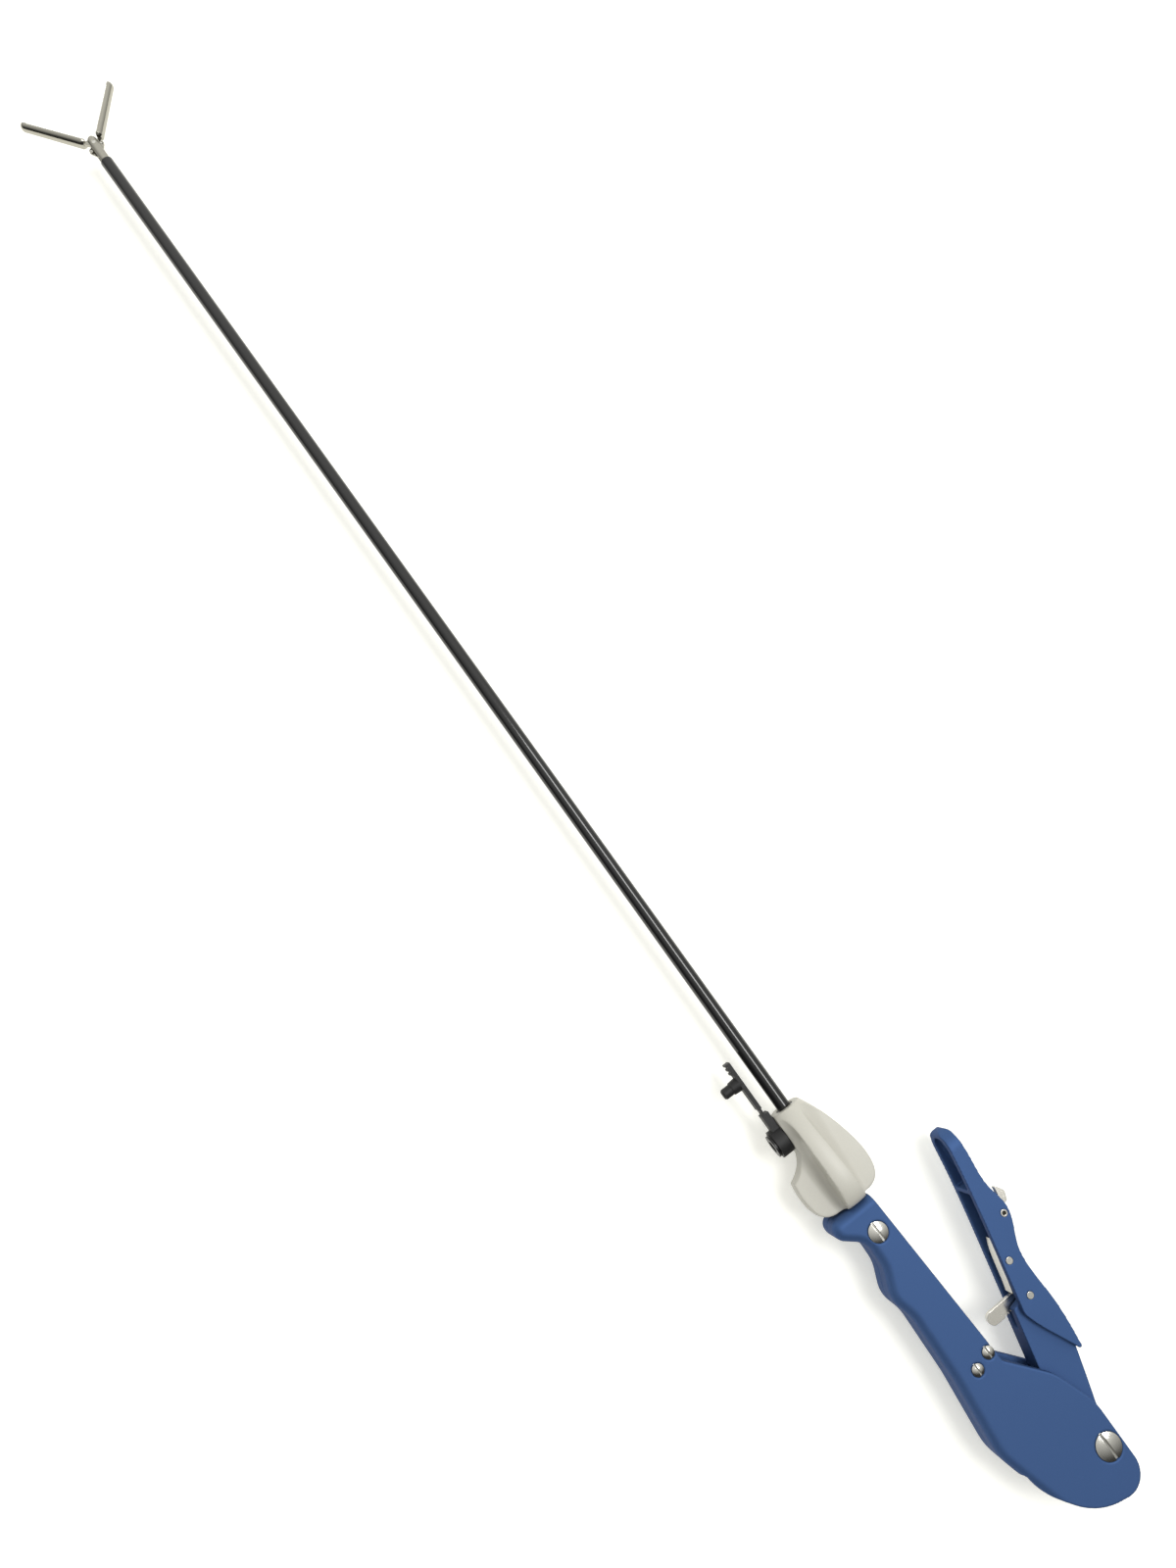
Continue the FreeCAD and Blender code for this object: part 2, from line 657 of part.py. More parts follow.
def lever_shell():
    owner = body("lever_shell")
    rear_low = from_pivot(28.5, -13.1)
    rear = from_pivot(27.5, -12.6)
    rear_high = from_pivot(28.3, -11.6)
    top = from_pivot(46.6, -3.5)
    lip = from_pivot(104.6, -16.6)
    under = from_pivot(104.4, -21.0)
    tip = from_pivot(107.2, -18.9)
    back = spline([
        under, from_pivot(94.6, -20.3), from_pivot(84.6, -19.5), from_pivot(76.6, -20.7),
        from_pivot(71.6, -19.4), from_pivot(64.6, -15.8), from_pivot(54.6, -14.4), from_pivot(44.6, -14.7),
        from_pivot(34.6, -14.0), rear_low,
    ])
    face = spline([top, from_pivot(64.6, -8.0), from_pivot(84.6, -12.8), lip])
    nose = Part.Arc(spot(*lip), spot(*tip), spot(*under))
    heel = Part.Arc(spot(*rear_low), spot(*rear), spot(*rear_high))
    rise = spline([rear_high, from_pivot(32.8, -9.4), from_pivot(39.6, -6.0), top])
    side = draw(owner, "shell_side", "XY_Plane", [face, nose, back, heel, rise])
    pad(owner, side, "shell_half * 2", both=True)
    corner_x = tip[0] + 0.01
    inset = corner_x - v.tip_round
    for side in (1, -1):
        edge = side * v.shell_half
        inner = edge - side * v.tip_round
        bend = v.tip_round * math.sqrt(0.5)
        cut = [
            Part.Arc(spot(inset, edge), spot(inset + bend, inner + side * bend), spot(corner_x, inner)),
            line((corner_x, inner), (corner_x + 5, inner)),
            line((corner_x + 5, inner), (corner_x + 5, edge + side)),
            line((corner_x + 5, edge + side), (inset, edge + side)),
            line((inset, edge + side), (inset, edge)),
        ]
        name = "tip_corner_top" if side > 0 else "tip_corner_bottom"
        pocket(owner, draw(owner, name, "XZ_Plane", cut), "pivot_back * 2", both=True)
    web = from_pivot(86.0, 0)[0]
    rear_end, front_start = web - v.web_half, web + v.web_half
    rear_bay = outline(
        from_pivot(20, 0), (rear_end, PIVOT[1]), (rear_end, PIVOT[1] - 17.0, 0.8), from_pivot(82.6, -17.0),
        (*from_pivot(76.0, -16.6), 3.0), from_pivot(64.6, -13.0), from_pivot(54.6, -12.3),
        from_pivot(20, -12.0))
    inside = v.shell_half - v.shell_wall
    channel = draw(owner, "channel_rear", "XY_Plane", rear_bay)
    pocket(owner, channel, "(shell_half - shell_wall) * 2", both=True)
    end = tip[0] - v.tip_wall
    front_bay = outline((front_start, -inside), (end, -inside, v.channel_round),
                        (end, inside, v.channel_round), (front_start, inside))
    floor = draw(owner, "channel_front", "XZ_Plane", front_bay, "pivot_below + channel_floor")
    pocket(owner, floor, "pivot_below", up=False)
    switch = outline(from_pivot(65.0, -10), from_pivot(84.0, -10), from_pivot(84.0, -30),
                     from_pivot(71.8, -30), from_pivot(71.8, -17.9), from_pivot(65.0, -14.6))
    pocket(owner, draw(owner, "switch_slot", "XY_Plane", switch), "slot_half * 2", both=True)
    holes = [circle(*BAR_RIVET, v.rivet_radius), circle(*LEAF_RIVET, v.rivet_radius),
             circle(*NUB_PIN, v.nub_pin)]
    for i, hole in enumerate(holes):
        pocket(owner, draw(owner, f"shell_hole_{i}", "XY_Plane", [hole]), "shell_half * 3", both=True)


def pin(name, place, radius, half):
    """A plain pin across the middle plane."""
    return rod(name, radius, f"({half}) * 2", str(place[0]), str(place[1]), f"-({half})")


lever_arm()
lever_shell()
less("pivot_bush",
     rod("pivot_bush_solid", "pivot_pin + bush_wall", "arm_half * 2", *PIVOT_AT, "-arm_half"),
     rod("pivot_bush_bore", "pivot_pin + slip", "arm_half * 4", *PIVOT_AT, "-arm_half * 2"))
pin("crank_pin", CRANK, "crank_pin", "link_half")
group("lever_rivets",
      pin("bar_rivet", BAR_RIVET, "rivet_radius", "shell_half + 0.1"),
      pin("leaf_rivet", LEAF_RIVET, "rivet_radius", "shell_half + 0.1"))
less("release_pin",
     pin("release_pin_solid", NUB_PIN, "nub_pin", "shell_half + 0.1"),
     pin("release_pin_bore", NUB_PIN, "nub_pin - 0.5", "shell_half * 2"))


def leaf_spring():
    """A bent strip that leans over its rivet and presses on the ratchet bar."""
    owner = body("leaf_spring")
    top = LEAF_RIVET[1] + v.rivet_radius + v.slip
    front = BAR_RIVET[0] + 1.75
    run = [(front, BAR_RIVET[1] + 3.0), (front + 5.0, BAR_RIVET[1] + 1.5), (LEAF_RIVET[0], top),
           (LEAF_RIVET[0] + 6.6, top - 2.5)]
    lower = spline(run)
    upper = spline([(x, y + v.leaf_thick) for x, y in run])
    ends = [line((x, y), (x, y + v.leaf_thick)) for x, y in (run[0], run[-1])]
    pad(owner, draw(owner, "leaf_side", "XY_Plane", [lower, upper, *ends]), "leaf_width", both=True)


def ratchet_bar():
    owner = body("ratchet_bar")
    half = v.bar_width / 2
    middle = BAR_RIVET[0] - 0.95
    tip = PIVOT[1] + 4.5
    pad(owner, draw(owner, "bar_blade", "XY_Plane", capsule(middle, BAR_RIVET[1] + 2.0, middle, tip, half)),
        "bar_half * 2", both=True)
    eye = [circle(*BAR_RIVET, v.rivet_radius * 2)]
    pad(owner, draw(owner, "bar_eye", "XY_Plane", eye), "bar_half * 2", both=True)
    edge = middle - half
    low = PIVOT[1] - 5.0
    high = low + v.tooth_count * v.tooth_pitch
    zigzag = [(edge - 2, low)]
    for i in range(v.tooth_count):
        start = low + i * v.tooth_pitch
        zigzag += [(edge, start), (edge + v.tooth_depth, start)]
    zigzag += [(edge, high), (edge - 2, high)]
    pocket(owner, draw(owner, "bar_teeth", "XY_Plane", outline(*zigzag)), "bar_half * 4", both=True)
    hole = [circle(*BAR_RIVET, v.rivet_radius + v.slip)]
    pocket(owner, draw(owner, "bar_hole", "XY_Plane", hole), "bar_half * 4", both=True)


def release_lever():
    """A short rocker on the hollow pin, with a nub for the fingertip outside the shell."""
    owner = body("release_lever")
    x, y = NUB_PIN
    arm = capsule(x, y, x - 5.0, y + 5.2, v.bar_half)
    pad(owner, draw(owner, "release_arm", "XY_Plane", arm), "bar_half * 2", both=True)
    eye = [circle(x, y, v.nub_pin * 1.7)]
    pad(owner, draw(owner, "release_eye", "XY_Plane", eye), "bar_half * 2", both=True)
    nub = outline((x - 0.6, y - 1.2), (*(x + 0.2, y - 5.4), 0.8), (*(x + 3.2, y - 6.6), 1.2),
                  (*(x + 6.8, y - 4.4), 0.4), (*(x + 3.2, y - 3.8), 0.8), (x + 1.4, y + 0.6))
    pad(owner, draw(owner, "release_nub", "XY_Plane", nub), "slot_half * 2 - 0.4", both=True)
    hole = [circle(x, y, v.nub_pin + v.slip)]
    pocket(owner, draw(owner, "release_hole", "XY_Plane", hole), "slot_half * 4", both=True)


leaf_spring()
ratchet_bar()
release_lever()


# Drive link, drawn along its own X from the crank pin, then laid to the spool

def drive_link():
    owner = body("drive_link")
    reach = math.dist(CRANK, SPOOL)
    tilt = math.degrees(math.atan2(SPOOL[1] - CRANK[1], SPOOL[0] - CRANK[0]))
    wide = v.crank_pin * 1.5
    side = capsule(0, 0, reach, 0, wide)
    pad(owner, draw(owner, "link_side", "XY_Plane", side), "link_half * 2", both=True)
    rear = outline((-9, -9), (4.2, -9), (4.2, 9), (-9, 9))
    front = outline((8.5, -9), (reach + 9, -9), (reach + 9, 9), (8.5, 9))
    for name, gap in (("link_rear_gap", rear), ("link_front_gap", front)):
        pocket(owner, draw(owner, name, "XY_Plane", gap), "(link_half - link_plate) * 2", both=True)
    hole = [circle(0, 0, v.crank_pin + v.slip)]
    pocket(owner, draw(owner, "link_hole", "XY_Plane", hole), "link_half * 3", both=True)
    for name, way, up in (("finger_top", "", True), ("finger_bottom", "-", False)):
        tip = [circle(reach, 0, v.groove_width * 0.4)]
        finger = draw(owner, name, "XY_Plane", tip, way + "(spool_core + 0.15)")
        pad(owner, finger, "link_half - spool_core - 0.15", up)
    owner.Placement = Placement(spot(*CRANK), Rotation(Vector(0, 0, 1), tilt))


drive_link()


# Push rod, with a spool behind and a flat tang in front

ROD_PIN = JAW_PIVOT - v.rod_pin_back
SPOOL_LENGTH = "groove_width + spool_flange * 2"
SPOOL_END = SPOOL_AT + " - groove_width / 2 - spool_flange"
less("rod_spool",
     joined("spool_solid",
            rod("spool_rear", "spool_radius", "spool_flange", SPOOL_END, axis="X"),
            rod("spool_middle", "spool_core", SPOOL_LENGTH, SPOOL_END, axis="X"),
            rod("spool_front", "spool_radius", "spool_flange", SPOOL_AT + " + groove_width / 2", axis="X")),
     rod("spool_bore", "rod_radius", "groove_width + spool_flange",
         SPOOL_AT + " - groove_width / 2", axis="X"))
ROD_FRONT = "shaft_length + pivot_ahead - rod_pin_back + small_pin * 2"
ROD_LENGTH = ROD_FRONT + " + knob_length + handle_gap + spool_back + groove_width / 2"
less("push_rod",
     rod("rod_solid", "rod_radius", ROD_LENGTH, SPOOL_AT + " - groove_width / 2", axis="X"),
     joined("rod_flats",
            block("flat_top", "20", "rod_radius * 4", "rod_radius * 2",
                  "shaft_length - 2", "-rod_radius * 2", "leaf_gap + leaf_depth - slip"),
            block("flat_bottom", "20", "rod_radius * 4", "rod_radius * 2",
                  "shaft_length - 2", "-rod_radius * 2", "-leaf_gap - leaf_depth + slip - rod_radius * 2"),
            rod("rod_eye", "small_pin", "rod_radius * 4", str(ROD_PIN), "0", "-rod_radius * 2")))
PIN_HALF = "jaw_slot - leaf_gap"
rod("rod_pin", "small_pin", f"({PIN_HALF}) * 2", str(ROD_PIN), "0", f"-({PIN_HALF})")


# Clevis, jaws and jaw links

def clevis():
    owner = body("clevis")
    ear = v.tube_radius
    centre = v.shaft_length + v.pivot_ahead + 0.9
    side = [
        line((v.shaft_length, -ear), (centre, -ear)),
        Part.Arc(spot(centre, -ear), spot(centre + ear, 0), spot(centre, ear)),
        line((centre, ear), (v.shaft_length, ear)),
        line((v.shaft_length, ear), (v.shaft_length, -ear)),
    ]
    pad(owner, draw(owner, "clevis_side", "XY_Plane", side), "tube_radius * 2", both=True)
    lumen = [circle(0, 0, v.tube_radius - v.tube_wall)]
    plug = draw(owner, "clevis_plug", "YZ_Plane", lumen, "shaft_length - clevis_plug")
    pad(owner, plug, "clevis_plug + 0.2")
    ring = draw(owner, "clevis_round", "YZ_Plane",
                [circle(0, 0, v.tube_radius * 3), circle(0, 0, v.tube_radius)], "shaft_length - 1")
    pocket(owner, ring, "pivot_ahead * 3")
    slot = outline((v.shaft_length + 0.4, -9), (v.shaft_length + 40, -9), (v.shaft_length + 40, 9),
                   (v.shaft_length + 0.4, 9))
    pocket(owner, draw(owner, "clevis_slot", "XY_Plane", slot), "jaw_slot * 2", both=True)
    rod_way = [circle(0, 0, v.rod_radius + v.slip * 2)]
    way = draw(owner, "clevis_bore", "YZ_Plane", rod_way, "shaft_length - 20")
    pocket(owner, way, "21")
    hole = draw(owner, "clevis_hole", "XY_Plane", [circle(JAW_PIVOT, 0, v.jaw_pin)])
    pocket(owner, hole, "tube_radius * 4", both=True)


def jaw(name, side):
    """One jaw, drawn closed about its own pivot and then swung open."""
    owner = body(name)
    root = 3.9
    tip = v.jaw_length
    end = v.jaw_tip
    skin = 0.05
    bend = end * math.sqrt(0.5)
    half = [
        line((root, 0), (root, v.jaw_root - 0.5)),
        line((root, v.jaw_root - 0.5), (root + 0.8, v.jaw_root)),
        line((root + 0.8, v.jaw_root), (tip - end, end)),
        Part.Arc(spot(tip - end, end), spot(tip - end + bend, bend), spot(tip, 0)),
        line((tip, 0), (root, 0)),
    ]
    sketch = draw(owner, name + "_back", "XY_Plane", half)
    turn(owner, sketch)
    count = int((tip - end - root - 1.5) / v.jaw_pitch)
    zigzag = [(root - 1, skin)]
    for i in range(count):
        start = root + 0.8 + i * v.jaw_pitch
        zigzag += [(start, skin), (start + v.jaw_pitch * 0.5, skin + v.jaw_groove)]
    last = root + 0.8 + count * v.jaw_pitch
    zigzag += [(last, skin), (tip + 2, skin), (tip + 2, -9), (root - 1, -9)]
    pocket(owner, draw(owner, name + "_teeth", "XY_Plane", outline(*zigzag)), "jaw_root * 4", both=True)
    neck = outline((0.9, -0.9, 0.3), (root - 1.2, -0.9), (root - 0.2, skin), (root + 0.6, v.jaw_root - 0.8),
                   (2.4, 1.5, 0.8), (0.9, 1.3, 0.3))
    pad(owner, draw(owner, name + "_neck", "XY_Plane", neck, "leaf_gap"), "jaw_slot - leaf_gap * 2")
    eye = [circle(0, 0, v.jaw_pin * 2.4)]
    pad(owner, draw(owner, name + "_eye", "XY_Plane", eye, "leaf_gap"), "leaf_depth")
    angle = math.radians(v.tail_angle)
    pin_x, pin_y = -v.tail_length * math.cos(angle), -v.tail_length * math.sin(angle)
    tail = capsule(0, 0, pin_x, pin_y, v.tail_round)
    pad(owner, draw(owner, name + "_tail", "XY_Plane", tail, "leaf_gap"), "leaf_depth")
    hole = [circle(0, 0, v.jaw_pin + v.slip)]
    pocket(owner, draw(owner, name + "_hole", "XY_Plane", hole), "jaw_root * 4", both=True)
    eyelet = [circle(pin_x, pin_y, v.small_pin)]
    pocket(owner, draw(owner, name + "_eyelet", "XY_Plane", eyelet), "jaw_root * 4", both=True)
    flip = Rotation() if side > 0 else Rotation(Vector(1, 0, 0), 180)
    swing = Rotation(Vector(0, 0, 1), side * v.jaw_open)
    owner.Placement = Placement(spot(JAW_PIVOT, 0), swing.multiply(flip))
    pin_at = owner.Placement.multVec(Vector(pin_x, pin_y, 0))
    low = "leaf_gap" if side > 0 else "-(jaw_slot - leaf_gap)"
    rod(name.replace("jaw", "tail_pin"), "small_pin", "jaw_slot - leaf_gap * 2",
        str(pin_at.x), str(pin_at.y), low)


def jaw_link(name, side):
    """A link from the rod's pin to a jaw's tail, drawn along its own X."""
    owner = body(name)
    plate = capsule(0, 0, v.link_length, 0, v.tail_round)
    side_plate = draw(owner, name + "_side", "XY_Plane", plate, "leaf_gap * 2 + leaf_depth")
    pad(owner, side_plate, "leaf_depth - leaf_gap")
    rear = [circle(0, 0, v.small_pin + v.slip)]
    front = [circle(v.link_length, 0, v.small_pin + v.open_gap)]
    pocket(owner, draw(owner, name + "_rear_hole", "XY_Plane", rear), "jaw_root * 4", both=True)
    pocket(owner, draw(owner, name + "_front_hole", "XY_Plane", front), "jaw_root * 4", both=True)
    flip = Rotation() if side > 0 else Rotation(Vector(1, 0, 0), 180)
    tilt = Rotation(Vector(0, 0, 1), -side * v.jaw_link_angle)
    owner.Placement = Placement(spot(ROD_PIN, 0), tilt.multiply(flip))


clevis()
rod("jaw_pivot_pin", "jaw_pin", "tube_radius * 2 - slip * 2", str(JAW_PIVOT), "0", "-tube_radius + slip")
for label, side in (("left", 1), ("right", -1)):
    jaw("jaw_" + label, side)
    jaw_link("jaw_link_" + label, side)


# Check everything and write one file for each piece

NODES = [
    "handle_half_top", "handle_half_bottom", "front_screws", "catch_screws", "handle_dowels", "pivot_screw",
    "pivot_nut", "ratchet_catch", "front_bush", "lever_arm", "lever_shell", "lever_rivets", "leaf_spring",
    "release_pin", "crank_pin", "pivot_bush", "ratchet_bar", "release_lever", "drive_link", "knob",
    "outer_tube", "insulation_sheath", "clevis", "flush_port", "cap_ring", "tube_collar", "jaw_pivot_pin",
    "rod_seal", "port_cap", "push_rod", "rod_spool", "rod_pin", "jaw_left", "jaw_right", "tail_pin_left",
    "tail_pin_right", "jaw_link_left", "jaw_link_right",
]

doc.recompute()
for thing in doc.Objects:
    if "Invalid" in thing.State or "Error" in thing.State:
        raise RuntimeError(f"{thing.Name} failed: {thing.State}")
    if thing.TypeId == "PartDesign::Pocket":
        before = thing.BaseFeature.Shape.Volume
        if before - thing.Shape.Volume < 1e-6:
            raise RuntimeError(f"{thing.Name} cuts nothing")

os.makedirs("parts", exist_ok=True)
for name in NODES:
    piece = doc.getObject(name)
    piece.Label = name
    if piece.Shape.isNull() or not piece.Shape.isValid():
        raise RuntimeError(f"{name} has no valid shape")
    piece.Shape.exportStep(f"parts/{name}.step")
    print(name, len(piece.Shape.Solids), round(piece.Shape.Volume, 2))
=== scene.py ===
"""Looks of a laparoscopic dissector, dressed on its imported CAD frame."""
import json
import bpy
from mathutils import Matrix, Vector

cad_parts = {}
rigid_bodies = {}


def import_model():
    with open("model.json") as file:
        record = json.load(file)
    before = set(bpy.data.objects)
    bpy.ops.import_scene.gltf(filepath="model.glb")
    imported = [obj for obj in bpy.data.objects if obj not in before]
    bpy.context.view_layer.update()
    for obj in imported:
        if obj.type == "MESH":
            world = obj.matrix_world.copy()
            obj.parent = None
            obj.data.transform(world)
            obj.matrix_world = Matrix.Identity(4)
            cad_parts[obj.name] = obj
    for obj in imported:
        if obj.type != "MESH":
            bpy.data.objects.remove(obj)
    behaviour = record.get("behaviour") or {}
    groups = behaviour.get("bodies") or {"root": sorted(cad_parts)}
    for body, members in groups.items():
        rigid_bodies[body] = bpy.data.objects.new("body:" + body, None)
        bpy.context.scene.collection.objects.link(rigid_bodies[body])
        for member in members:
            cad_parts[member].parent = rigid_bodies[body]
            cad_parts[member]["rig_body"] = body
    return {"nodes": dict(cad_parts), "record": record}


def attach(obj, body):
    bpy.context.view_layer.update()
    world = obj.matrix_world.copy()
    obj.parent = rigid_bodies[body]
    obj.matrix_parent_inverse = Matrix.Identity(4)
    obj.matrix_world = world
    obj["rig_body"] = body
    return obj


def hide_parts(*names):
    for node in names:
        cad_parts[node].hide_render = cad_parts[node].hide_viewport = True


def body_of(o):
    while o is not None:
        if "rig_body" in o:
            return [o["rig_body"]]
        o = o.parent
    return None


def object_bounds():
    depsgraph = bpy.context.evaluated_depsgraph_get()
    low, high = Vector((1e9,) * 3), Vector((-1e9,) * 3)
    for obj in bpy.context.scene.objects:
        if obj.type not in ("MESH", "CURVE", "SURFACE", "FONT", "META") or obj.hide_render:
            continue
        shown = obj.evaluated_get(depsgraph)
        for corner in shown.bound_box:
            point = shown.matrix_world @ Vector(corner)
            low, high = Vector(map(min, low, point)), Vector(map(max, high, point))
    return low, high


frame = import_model()
cad_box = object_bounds()
nodes = frame["nodes"]
subparts = {entry["node"]: entry for entry in frame["record"]["subparts"]}

MM = 0.001


# Tools for materials

def linear(code):
    """An sRGB hex value as the linear colour that a socket takes."""
    shares = [int(code[i:i + 2], 16) / 255 for i in (0, 2, 4)]
    return [s / 12.92 if s <= 0.04045 else ((s + 0.055) / 1.055) ** 2.4 for s in shares] + [1.0]


def per_mm(size):
    """Texture scale, per metre, of a pattern whose grain is this many millimetres."""
    return 1 / (size * MM)


def add(tree, kind, inputs=None, **settings):
    """Add a node with its settings, and give each input a value or a link."""
    node = tree.nodes.new(kind)
    for name, value in settings.items():
        setattr(node, name, value)
    for name, value in (inputs or {}).items():
        if isinstance(value, bpy.types.NodeSocket):
            tree.links.new(value, node.inputs[name])
        else:
            node.inputs[name].default_value = value
    return node


# Sockets of a colour mix: factor, first colour, second colour, and the colour that comes out
FACTOR, FIRST, SECOND, MIXED = 0, 6, 7, 2

# The grain has this many finer layers, and its values seldom leave this span
GRAIN_LAYERS = 3.0
GRAIN_LOW, GRAIN_HIGH = 0.3, 0.7

# Width in millimetres over which an edge catches the light, and the rays that feel for it
EDGE_BREAK = 0.15
EDGE_RAYS = 16


def surface(name, grain, low, high, rough, depth, spread=(1, 1, 1), **finish):
    """A material whose colour, gloss and relief all follow one grain of its real size in mm.

    The colour goes from low to high, and the roughness between the two values of rough.
    The relief is depth millimetres deep, and spread packs the grain closer
    along an axis, or below 1 draws it out.
    Light catches every edge as if it were slightly broken.
    """
    material = bpy.data.materials.new(name)
    material.use_nodes = True
    tree = material.node_tree
    tree.nodes.clear()
    place = add(tree, "ShaderNodeTexCoord").outputs["Object"]
    place = add(tree, "ShaderNodeMapping", {"Vector": place, "Scale": spread}).outputs["Vector"]
    pattern = add(tree, "ShaderNodeTexNoise", {
        "Vector": place, "Scale": per_mm(grain), "Detail": GRAIN_LAYERS}).outputs["Fac"]
    colour = add(tree, "ShaderNodeMix", {
        FACTOR: pattern, FIRST: linear(low), SECOND: linear(high)}, data_type="RGBA").outputs[MIXED]
    gloss = add(tree, "ShaderNodeMapRange", {
        "Value": pattern, "From Min": GRAIN_LOW, "From Max": GRAIN_HIGH,
        "To Min": rough[0], "To Max": rough[1]}).outputs["Result"]
    corner = add(tree, "ShaderNodeBevel", {"Radius": EDGE_BREAK * MM}, samples=EDGE_RAYS)
    relief = add(tree, "ShaderNodeBump", {
        "Height": pattern, "Distance": depth * MM, "Strength": 1.0,
        "Normal": corner.outputs["Normal"]})
    inputs = {"Base Color": colour, "Roughness": gloss, "Normal": relief.outputs["Normal"]}
    inputs.update({socket.replace("_", " "): value for socket, value in finish.items()})
    shader = add(tree, "ShaderNodeBsdfPrincipled", inputs)
    add(tree, "ShaderNodeOutputMaterial", {"Surface": shader.outputs["BSDF"]})
    return material


# Materials

# Blasted, etched and moulded grain is really about 0.1 mm. Here it is two to three times coarser,
# so that it shows.

# Bead-blasted aluminium, anodised blue: a satin face, lighter where it sees the light
anodised_aluminium = surface(
    "anodised_aluminium", 0.35, "3D5782", "46608E", (0.5, 0.6), 0.008,
    Metallic=0.45, Specular_Tint=linear("4A5080"))
# Light grey engineering plastic from a finely etched tool: a soft sheen and a faint speckle
etched_plastic = surface("etched_plastic", 0.3, "B6B4AB", "C3C1B8", (0.34, 0.44), 0.008)
# Black polyolefin sheath, shrunk on the tube: near black, glossy enough to draw a lamp as a line
shrink_sheath = surface(
    "shrink_sheath", 2.5, "171718", "1C1C1D", (0.08, 0.12), 0.002, (0.2, 1, 1), IOR=1.58)
# Black moulded plastic: dark, with a blurred shine on its rims
black_moulding = surface("black_moulding", 0.25, "0D0D0F", "151517", (0.3, 0.42), 0.006)
# Black silicone rubber: duller and a little greyer than the moulding
black_silicone = surface("black_silicone", 0.3, "0F0F10", "171719", (0.5, 0.64), 0.008)
# Turned and polished stainless steel: mirror-like, with hair scratches from the driver
polished_steel = surface(
    "polished_steel", 0.15, "C9C7C0", "E2E1DB", (0.1, 0.24), 0.003, (1, 6, 6), Metallic=1.0)
# Flat ground spring steel: bright, with its grinding lines along the strip
ground_steel = surface(
    "ground_steel", 0.15, "CBC8BF", "E0DDD5", (0.16, 0.28), 0.001, (1, 4, 1), Metallic=1.0)
# Forged stainless steel, tumbled to a satin: a warm grey with a fine grain
tumbled_steel = surface(
    "tumbled_steel", 0.2, "A19E94", "BBB8AE", (0.12, 0.22), 0.004, Metallic=1.0)
# Drawn stainless tube: fine lines along its length
drawn_steel = surface(
    "drawn_steel", 0.12, "B9B7AF", "CFCDC6", (0.22, 0.34), 0.003, (0.1, 1, 1), Metallic=1.0)
# Sintered bronze of the pivot bush: warm brown, with open pores
sintered_bronze = surface(
    "sintered_bronze", 0.2, "9C7A48", "B8935A", (0.35, 0.5), 0.01, Metallic=1.0)
# Natural acetal of the tube's bearing: milky, slightly glossy
natural_acetal = surface(
    "natural_acetal", 0.4, "D6D4C9", "E0DED4", (0.3, 0.4), 0.004,
    Subsurface_Weight=0.1, Subsurface_Scale=0.001)

FINISHES = {
    "anodised_blue": anodised_aluminium, "bright_steel": polished_steel,
    "spring_steel": ground_steel, "jaw_steel": tumbled_steel, "tube_steel": drawn_steel,
    "bush_bronze": sintered_bronze, "bush_plastic": natural_acetal,
    "grey_moulding": etched_plastic, "black_sheath": shrink_sheath,
    "black_moulding": black_moulding, "black_rubber": black_silicone,
}


def dress(piece, slot):
    """Give a piece the finish of one of the record's slots."""
    piece.data.materials.clear()
    piece.data.materials.append(FINISHES[slot])


for name, entry in subparts.items():
    dress(nodes[name], entry["material_slot"])


# Pieces whose edges are rounded

ROUND_GRAIN = 0.3


def rounded(node, passes, keep):
    """A copy of a node with its edges rounded, as blasting or a worn mould leaves them.

    The mesh is remade in grains of ROUND_GRAIN mm, smoothed in passes, and thinned to a share.
    """
    piece = bpy.data.objects.new(node + "_rounded", nodes[node].data.copy())
    bpy.context.scene.collection.objects.link(piece)
    remesh = piece.modifiers.new("grains", "REMESH")
    remesh.mode = "VOXEL"
    remesh.voxel_size = ROUND_GRAIN * MM
    smooth = piece.modifiers.new("smooth", "SMOOTH")
    smooth.iterations = passes
    thin = piece.modifiers.new("thin", "DECIMATE")
    thin.ratio = keep
    graph = bpy.context.evaluated_depsgraph_get()
    mesh = bpy.data.meshes.new_from_object(piece.evaluated_get(graph))
    piece.modifiers.clear()
    piece.data = mesh
    mesh.shade_smooth()
    slot = subparts[node]["material_slot"]
    dress(piece, slot)
    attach(piece, body_of(nodes[node])[0])
    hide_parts(node)


rounded("handle_half_top", 2, 0.25)
rounded("handle_half_bottom", 2, 0.25)
rounded("lever_shell", 2, 0.3)
rounded("lever_arm", 2, 0.3)
rounded("knob", 3, 0.25)


# Floor, light and camera

FLOOR_HALF = 3.0
FLOOR_DROP = 0.05
FLOOR_GLOW = 0.38
STUDIO_WHITE = linear("FFFFFB")


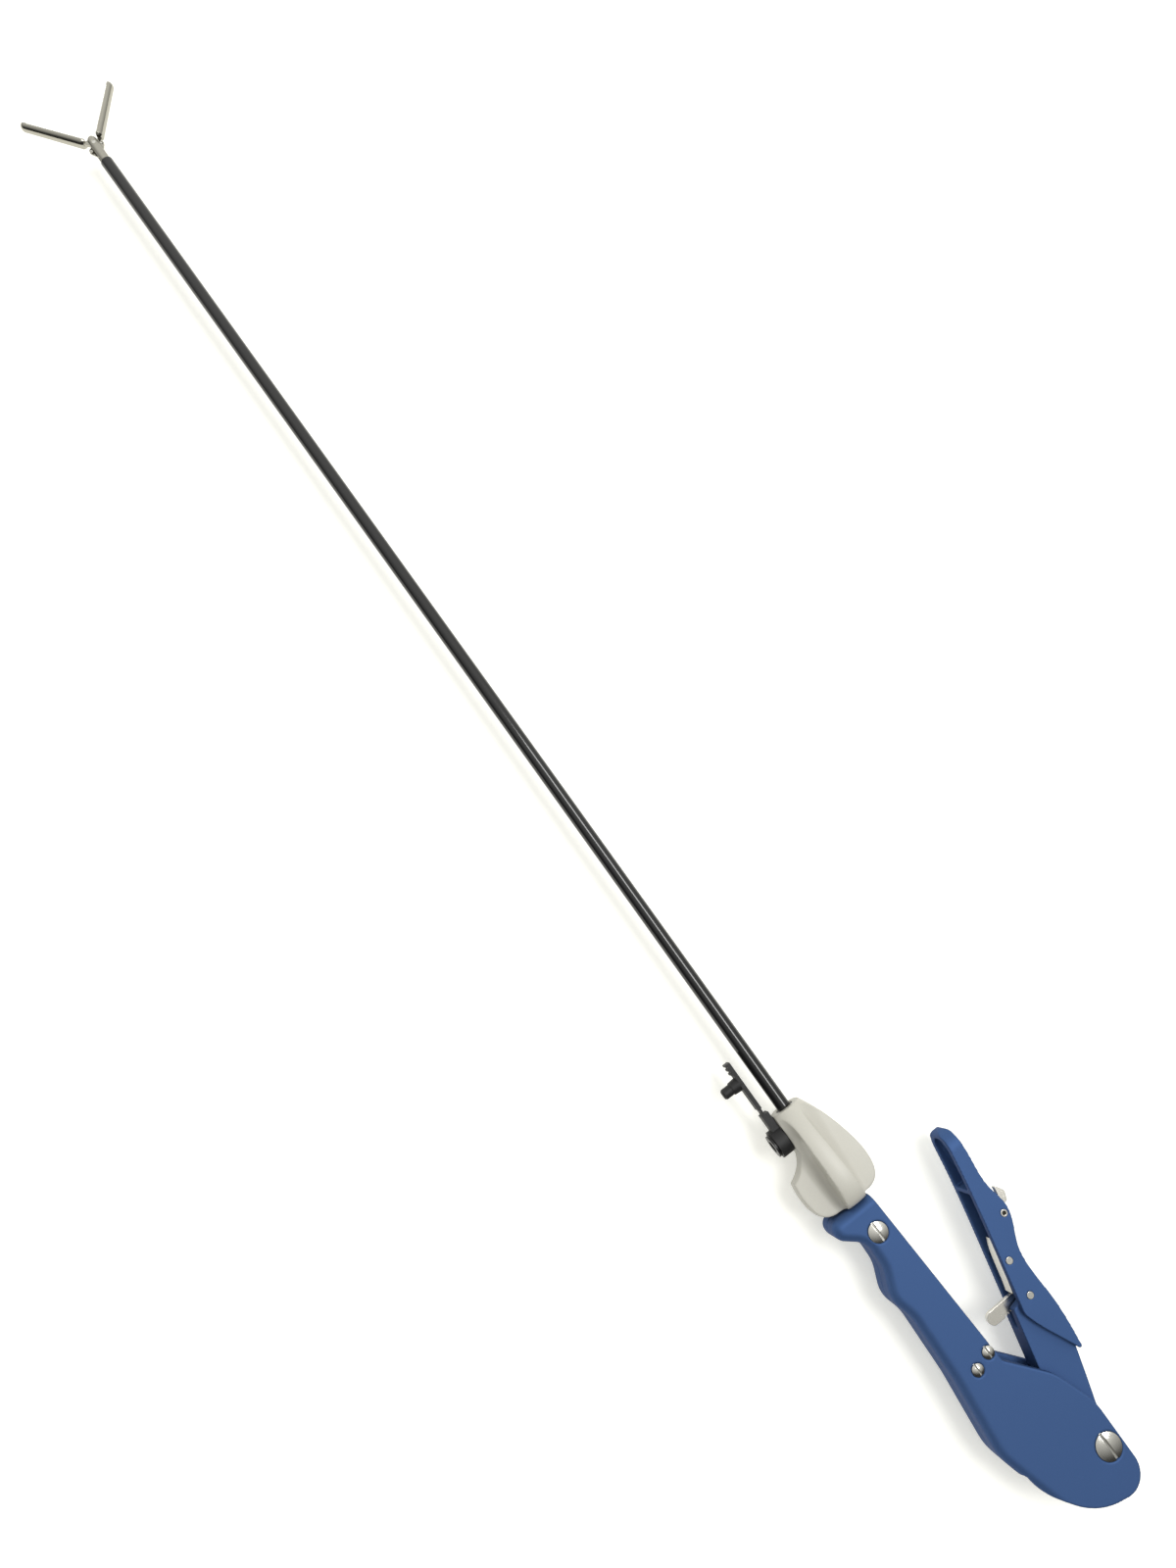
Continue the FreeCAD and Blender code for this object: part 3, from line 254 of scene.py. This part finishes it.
def pale_floor():
    """White paper: white to the camera, in gloss and through glass, and it keeps the shadow."""
    material = bpy.data.materials.new("pale_floor")
    material.use_nodes = True
    tree = material.node_tree
    tree.nodes.clear()
    path = add(tree, "ShaderNodeLightPath").outputs
    seen = add(tree, "ShaderNodeMath", {
        0: path["Is Camera Ray"], 1: path["Is Glossy Ray"]}, operation="MAXIMUM")
    seen = add(tree, "ShaderNodeMath", {
        0: seen.outputs[0], 1: path["Is Transmission Ray"]}, operation="MAXIMUM")
    glow = add(tree, "ShaderNodeMath", {0: seen.outputs[0], 1: FLOOR_GLOW}, operation="MULTIPLY")
    paper = add(tree, "ShaderNodeBsdfDiffuse", {"Color": linear("EFEEE8")})
    light = add(tree, "ShaderNodeEmission", {"Color": STUDIO_WHITE, "Strength": glow.outputs[0]})
    both = add(tree, "ShaderNodeAddShader", {0: paper.outputs[0], 1: light.outputs[0]})
    add(tree, "ShaderNodeOutputMaterial", {"Surface": both.outputs[0]})
    return material


floor_level = cad_box[0][2] - FLOOR_DROP * MM
floor_corners = ((-FLOOR_HALF, -FLOOR_HALF), (FLOOR_HALF, -FLOOR_HALF),
                 (FLOOR_HALF, FLOOR_HALF), (-FLOOR_HALF, FLOOR_HALF))
sheet = bpy.data.meshes.new("floor")
sheet.from_pydata([(x, y, floor_level) for x, y in floor_corners], [], [(0, 1, 2, 3)])
floor = bpy.data.objects.new("floor", sheet)
bpy.context.scene.collection.objects.link(floor)
sheet.materials.append(pale_floor())

# One soft box over the lever's side, long along the shaft, so that the sheath draws it as a line
SOFTBOX_PLACE = Vector((0.05, -0.46, 1.53))
SOFTBOX_TARGET = Vector((0.05, 0.0, 0.0))
softbox = bpy.data.lights.new("softbox", "AREA")
softbox.shape = "RECTANGLE"
softbox.size = 0.9
softbox.size_y = 0.45
softbox.energy = 11.0
holder = bpy.data.objects.new("softbox", softbox)
bpy.context.scene.collection.objects.link(holder)
holder.location = SOFTBOX_PLACE
holder.rotation_euler = (SOFTBOX_PLACE - SOFTBOX_TARGET).to_track_quat("Z", "Y").to_euler()

# The room: bright above, dark at the far walls, so that steel and the handle's flanks show contrast
ROOM_BRIGHT_SIDE = (0.60, -0.35, 0.72)
ROOM_FULL_FROM = 0.9
ROOM_DARK, ROOM_BRIGHT = 0.04, 1.0
WALL_LIGHT = 0.22
world = bpy.data.worlds.new("room")
bpy.context.scene.world = world
world.use_nodes = True
room = world.node_tree
room.nodes.clear()
way = add(room, "ShaderNodeTexCoord").outputs["Generated"]
facing = add(room, "ShaderNodeVectorMath", {0: way, 1: ROOM_BRIGHT_SIDE}, operation="DOT_PRODUCT")
level = add(room, "ShaderNodeMapRange", {
    "Value": facing.outputs["Value"], "From Min": 0.0, "From Max": ROOM_FULL_FROM,
    "To Min": ROOM_DARK, "To Max": ROOM_BRIGHT}).outputs["Result"]
# Matt surfaces get the far walls' light too, and the camera sees white behind the object
path = add(room, "ShaderNodeLightPath").outputs
level = add(room, "ShaderNodeMath", {
    0: path["Is Diffuse Ray"], 1: WALL_LIGHT, 2: level}, operation="MULTIPLY_ADD")
level = add(room, "ShaderNodeMath", {
    0: level.outputs[0], 1: path["Is Camera Ray"]}, operation="MAXIMUM")
sky = add(room, "ShaderNodeBackground", {"Color": STUDIO_WHITE, "Strength": level.outputs[0]})
add(room, "ShaderNodeOutputWorld", {"Surface": sky.outputs[0]})

# The photograph's camera, worked out from the shaft and the screws: 0.4 m above the floor, wide
CAMERA_PLACE = Vector((0.07757, 0.06425, 0.38522))
CAMERA_RIGHT = Vector((-0.57979, -0.81117, 0.07643))
CAMERA_UP = Vector((0.80329, -0.55341, 0.22013))
lens = bpy.data.cameras.new("camera")
lens.lens = 25
lens.sensor_width = 36
lens.clip_start = 0.01
camera = bpy.data.objects.new("camera", lens)
bpy.context.scene.collection.objects.link(camera)
turned = Matrix((CAMERA_RIGHT, CAMERA_UP, CAMERA_RIGHT.cross(CAMERA_UP))).transposed().to_4x4()
camera.matrix_world = Matrix.Translation(CAMERA_PLACE) @ turned
bpy.context.scene.camera = camera
bpy.context.scene.view_settings.view_transform = "Standard"
